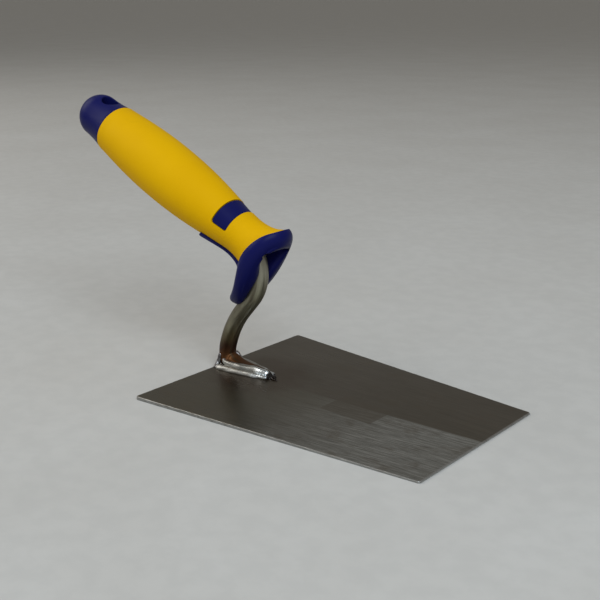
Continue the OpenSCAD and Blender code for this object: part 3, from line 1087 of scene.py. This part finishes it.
def shank_steel():
    n = Nodes("shank_steel")
    x, z = n.axis(n.coords, "X"), n.axis(n.coords, "Z")
    # The bar bends in its own middle plane, so marks that only change quickly across that plane
    # run along it.
    streak = n.noise(n.stretch((34, 620, 26)), detail=5, rough=0.6)
    broad = n.noise(n.stretch((30, 260, 16), shift=(3, 2, 1)), detail=3)
    cloud = n.noise(n.stretch((130, 130, 60)), detail=5, rough=0.65)
    pits = n.noise(n.stretch((2400, 2400, 1500)), detail=3)
    bar = n.mix(n.span(streak, 0.3, 0.7), (0.150, 0.140, 0.098), (0.360, 0.345, 0.260))
    bar = n.mix(n.span(broad, 0.46, 0.62, 0, 0.55), bar, (0.095, 0.078, 0.050))
    bar = n.mix(n.span(cloud, 0.55, 0.70, 0, 0.45), bar, (0.105, 0.075, 0.045))

    # Heat tint: brown by the weld, then blue-black and straw where it fades into the bar.
    climb = n.math("ADD", z, n.math("MULTIPLY", n.math("SUBTRACT", cloud, 0.5), 0.012))
    tint = n.ramp(n.span(climb, 0.004, 0.034, soft=False), [
        (0.00, (0.085, 0.034, 0.012)), (0.16, (0.110, 0.044, 0.014)), (0.34, (0.050, 0.024, 0.014)),
        (0.52, (0.085, 0.062, 0.026)), (0.75, (0.150, 0.130, 0.070)), (1.00, (0.200, 0.185, 0.130)),
    ])
    colour = n.mix(n.span(climb, 0.014, 0.034, 1.0, 0.0), bar, tint)

    # Brown lengthwise marks on the bar, and a painted highlight that makes the bar lighter up by the
    # guard.
    marks = n.math("MULTIPLY", n.span(n.noise(n.stretch((20, 420, 9), shift=(1, 4, 2)), detail=4),
                                      0.50, 0.62, 0, 0.75), n.span(z, 0.062, 0.050))
    colour = n.mix(marks, colour, (0.070, 0.048, 0.026))
    colour = n.mix(n.span(z, 0.046, 0.066, 0, 0.45), colour, (0.46, 0.44, 0.37))

    # Dark scale on the foot's end.
    end = n.math("MULTIPLY", n.span(x, -0.0485, -0.0470), n.span(z, 0.0062, 0.0056))
    colour = n.mix(end, colour, (0.030, 0.027, 0.026))
    rough = n.span(cloud, 0.3, 0.7, 0.32, 0.50)
    normal = n.bump(pits, 0.16, 0.00004)
    normal = n.bump(streak, 0.14, 0.00008, normal)
    return n.finish(colour, rough, normal, metallic=0.85)


def weld_metal():
    n = Nodes("weld_metal")
    x, z = n.axis(n.coords, "X"), n.axis(n.coords, "Z")
    grain = n.noise(n.stretch((420, 1300, 1300)), detail=5, rough=0.6)
    cloud = n.noise(n.stretch((110, 260, 260)), detail=4)
    soot = n.noise(n.stretch((150, 420, 420), shift=(2, 5, 1)), detail=5, rough=0.65)
    dull = n.mix(cloud, (0.27, 0.265, 0.245), (0.50, 0.50, 0.48))
    # Painted highlight: the welds are painted near white-blue towards their toe end.
    tip_highlight = n.span(n.math("ADD", x, n.math("MULTIPLY", soot, 0.006)), -0.0530, -0.0480)
    colour = n.mix(tip_highlight, dull, (0.80, 0.86, 0.90))
    heel = n.span(n.math("ADD", x, n.math("MULTIPLY", cloud, 0.004)), -0.0770, -0.0735, 1.0, 0.0)
    colour = n.mix(n.math("MULTIPLY", heel, 0.75), colour, (0.115, 0.105, 0.125))
    colour = n.mix(n.span(soot, 0.56, 0.70, 0, 0.8), colour, (0.085, 0.070, 0.065))
    high = n.span(z, 0.0056, 0.0072)
    colour = n.mix(n.math("MULTIPLY", high, 0.7), colour, (0.135, 0.115, 0.125))
    tail = n.span(x, -0.0460, -0.0452)
    colour = n.mix(tail, colour, (0.05, 0.045, 0.045))
    # Painted shade: the beads are darker low down, where they meet the blade.
    foot = n.span(n.math("ADD", z, n.math("MULTIPLY", soot, 0.0010)), 0.0020, 0.0031, 0.75, 0.0)
    colour = n.mix(foot, colour, (0.075, 0.062, 0.052))
    rough = n.span(grain, 0.3, 0.7, 0.32, 0.48)
    rough = n.math("SUBTRACT", rough, n.math("MULTIPLY", tip_highlight, 0.14))
    normal = n.bump(grain, 0.20, 0.00010)
    return n.finish(colour, rough, normal, metallic=1.0)


def moulded(name, low, high, rough_lo, rough_hi, grain_mm=0.35, specular=0.5, depth=0.00003):
    """Moulded plastic: a fine spark-eroded grain over slow changes of tone."""
    n = Nodes(name)
    cloud = n.noise(n.coords, 38, detail=4, rough=0.6)
    smear = n.noise(n.stretch((60, 60, 160)), detail=5, rough=0.6, distort=0.4)
    grain = n.noise(n.coords, 1000 / grain_mm, detail=2, rough=0.5)
    scuff = n.span(n.noise(n.stretch((300, 900, 500), turn=(0.3, 0.5, 0.2)), detail=3), 0.66, 0.74)
    colour = n.mix(cloud, low, high)
    colour = n.mix(n.span(smear, 0.60, 0.78, 0, 0.12), colour, tuple(c * 0.55 for c in low))
    rough = n.span(smear, 0.3, 0.7, rough_lo, rough_hi)
    rough = n.math("ADD", rough, n.math("MULTIPLY", scuff, 0.08))
    normal = n.bump(grain, 0.5, depth)
    normal = n.bump(scuff, 0.08, 0.00002, normal)
    return n.finish(colour, rough, normal, specular=specular)


def floor_material():
    n = Nodes("floor")
    cloud = n.noise(n.coords, 9, detail=6, rough=0.6)
    speck = n.noise(n.coords, 90, detail=4)
    colour = n.mix(cloud, (0.50, 0.49, 0.47), (0.60, 0.60, 0.59))
    colour = n.mix(n.span(speck, 0.35, 0.65, 0, 0.18), colour, (0.42, 0.42, 0.41))
    return n.finish(colour, 0.75, specular=0.25)


# ---------------------------------------------------------------- assemble

YELLOW = moulded("grip_yellow", (0.72, 0.39, 0.0), (0.79, 0.45, 0.0), 0.56, 0.68, specular=0.06)
NAVY = moulded("grip_navy", (0.0045, 0.006, 0.072), (0.008, 0.010, 0.098), 0.34, 0.46,
               specular=0.09)
BLADE = blade_steel()
SHANK = shank_steel()
WELD = weld_metal()


def finish_piece(obj, node, material):
    obj.data.materials.clear()
    obj.data.materials.append(material)
    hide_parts(node)
    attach(obj, "root")


finish_piece(grip_sleeve(), "grip_sleeve", YELLOW)
finish_piece(window_inlay(), "window_inlay", NAVY)
finish_piece(finger_guard(), "finger_guard", NAVY)
finish_piece(butt_cap(), "butt_cap", NAVY)
finish_piece(shank(), "shank", SHANK)
finish_piece(blade(), "blade", BLADE)
for obj, node in weld_beads():
    finish_piece(obj, node, WELD)

core = frame["nodes"]["handle_core"]
core.data.materials.clear()
core.data.materials.append(NAVY)

# ---------------------------------------------------------------- stage


def slab(name, corners, material):
    mesh = bpy.data.meshes.new(name)
    mesh.from_pydata(corners, [], [tuple(range(len(corners)))])
    mesh.materials.append(material)
    obj = bpy.data.objects.new(name, mesh)
    bpy.context.scene.collection.objects.link(obj)
    return obj


slab("floor", [(-40, -40, 0), (40, -40, 0), (40, 40, 0), (-40, 40, 0)], floor_material())


def area_light(name, place, aim, size, power, colour):
    data = bpy.data.lights.new(name, "AREA")
    data.shape = "RECTANGLE"
    data.size, data.size_y = size
    data.energy = power
    data.color = colour
    obj = bpy.data.objects.new(name, data)
    obj.location = place
    way = Vector(aim) - Vector(place)
    obj.rotation_euler = way.to_track_quat("-Z", "Y").to_euler()
    bpy.context.scene.collection.objects.link(obj)


area_light("key", (1.1, -0.9, 1.5), (0, 0, 0), (1.6, 1.2), 30, (0.84, 0.93, 1.0))
area_light("fill", (-1.6, -0.7, 1.3), (0, 0, 0.05), (1.8, 1.4), 16, (1.0, 0.97, 0.92))

world = bpy.data.worlds.new("world")
world.use_nodes = True
background = world.node_tree.nodes["Background"]
background.inputs["Color"].default_value = (0.88, 0.85, 0.79, 1)
background.inputs["Strength"].default_value = 0.30
bpy.context.scene.world = world
bpy.context.scene.view_settings.view_transform = "Standard"

# Camera at the photograph's angle, solved from the blade's four edges.
camera_data = bpy.data.cameras.new("camera")
camera_data.lens = 60.96
camera_data.sensor_width = 36.0
camera = bpy.data.objects.new("camera", camera_data)
camera.location = (0.2877, -0.3701, 0.1939)
camera.rotation_euler = (radians(73.26), 0, radians(40.22))
bpy.context.scene.collection.objects.link(camera)
bpy.context.scene.camera = camera
